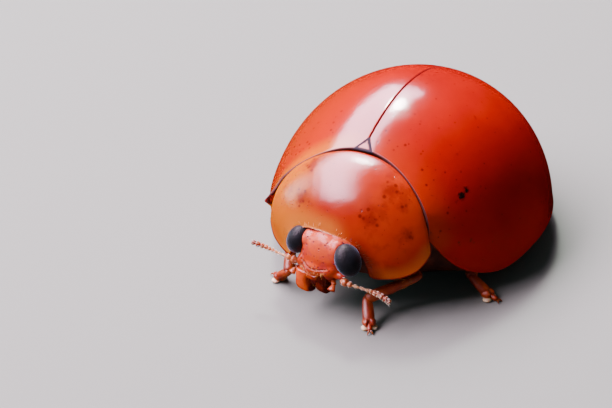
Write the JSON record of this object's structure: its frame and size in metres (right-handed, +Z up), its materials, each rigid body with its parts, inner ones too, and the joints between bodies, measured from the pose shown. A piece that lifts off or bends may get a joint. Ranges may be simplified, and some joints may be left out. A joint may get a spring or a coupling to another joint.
{
  "type": "ladybird",
  "caption": "Life-size still model of an unspotted red-orange ladybird beetle, standing with its head turned aside.",
  "frame": {"origin": "on the ground, under the middle of the insect", "axes": "+Z up, -Y towards the head, +X towards the insect's own left side"},
  "size_m": [0.0065, 0.0081, 0.0039],
  "materials": {
    "wing_case": "smooth glossy horn-like shell, red-orange, without spots",
    "pronotum": "smooth glossy shell, orange with faint mottling",
    "head": "orange-red, finely dimpled",
    "limb": "orange-brown, semi-gloss, finely haired",
    "underside": "reddish brown, semi-gloss",
    "eye": "black with a blue-grey sheen",
    "mouth": "dark maroon brown"
  },
  "bodies": {
    "root": {"wing_case_left": "wing_case", "wing_case_right": "wing_case", "scutellum": "pronotum", "pronotum": "pronotum", "head": "head", "upper_lip": "head", "lower_lip": "mouth", "eye_left": "eye", "jaw_left": "mouth", "mouth_feeler_left": "limb", "eye_right": "eye", "jaw_right": "mouth", "mouth_feeler_right": "limb", "antenna_left": "limb", "antenna_right": "limb", "prothorax": "underside", "thorax": "underside", "abdomen": "underside", "hip_front_left": "underside", "thigh_front_left": "limb", "shin_front_left": "limb", "foot_front_left": "limb", "hip_front_right": "underside", "thigh_front_right": "limb", "shin_front_right": "limb", "foot_front_right": "limb", "hip_middle_left": "underside", "thigh_middle_left": "limb", "shin_middle_left": "limb", "foot_middle_left": "limb", "hip_middle_right": "underside", "thigh_middle_right": "limb", "shin_middle_right": "limb", "foot_middle_right": "limb", "hip_hind_left": "underside", "thigh_hind_left": "limb", "shin_hind_left": "limb", "foot_hind_left": "limb", "hip_hind_right": "underside", "thigh_hind_right": "limb", "shin_hind_right": "limb", "foot_hind_right": "limb"}
  },
  "joints": []
}
